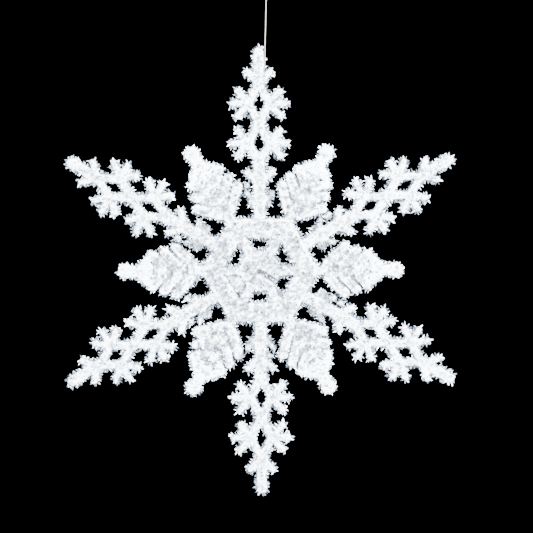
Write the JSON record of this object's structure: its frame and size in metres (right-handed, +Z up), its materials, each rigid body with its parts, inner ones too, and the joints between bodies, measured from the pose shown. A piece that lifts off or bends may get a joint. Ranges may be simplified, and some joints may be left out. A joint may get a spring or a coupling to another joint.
{
  "type": "hanging snowflake decoration",
  "caption": "Flocked hanging snowflake with open forked branches, ribbed plumes between them, a spoked hexagonal hub and a thread that ends in a hanging loop.",
  "frame": {"origin": "inside the top of the hanging loop, where a hook bears", "axes": "+Z up along the hanging thread, -Y out of the flake's front, +X to the right seen from the front"},
  "size_m": [0.3488, 0.009, 0.4802],
  "materials": {
    "flocked_plastic": "bright white short-fibre flock over moulded plastic",
    "bare_plastic": "natural moulded plastic",
    "thread": "twisted off-white thread"
  },
  "bodies": {
    "hanger": {"top_loop": "thread"},
    "swivel": {"top_knot": "thread"},
    "thread": {"line": "thread"},
    "tie": {"tie_knot": "thread"},
    "flake": {"front_hub": "flocked_plastic", "back_hub": "flocked_plastic", "hub_pins": "bare_plastic", "top_branch": "flocked_plastic", "upper_left_branch": "flocked_plastic", "lower_left_branch": "flocked_plastic", "bottom_branch": "flocked_plastic", "lower_right_branch": "flocked_plastic", "upper_right_branch": "flocked_plastic", "upper_right_plume": "flocked_plastic", "upper_left_plume": "flocked_plastic", "left_plume": "flocked_plastic", "lower_left_plume": "flocked_plastic", "lower_right_plume": "flocked_plastic", "right_plume": "flocked_plastic", "tie_loop": "thread"}
  },
  "joints": [
    {"name": "swing_side", "type": "hinge", "parent": "hanger", "child": "swivel", "pos_m": [0, 0, -0.0325], "axis": [0, 1, 0], "range_deg": [-30, 30]},
    {"name": "swing_front", "type": "hinge", "parent": "swivel", "child": "thread", "pos_m": [0, 0, -0.0325], "axis": [1, 0, 0], "range_deg": [-30, 30]},
    {"name": "spin", "type": "hinge", "parent": "thread", "child": "tie", "pos_m": [0, 0, -0.10525], "axis": [0, 0, 1], "continuous": true},
    {"name": "nod", "type": "hinge", "parent": "tie", "child": "flake", "pos_m": [0, 0, -0.10525], "axis": [1, 0, 0], "range_deg": [-30, 30]}
  ]
}
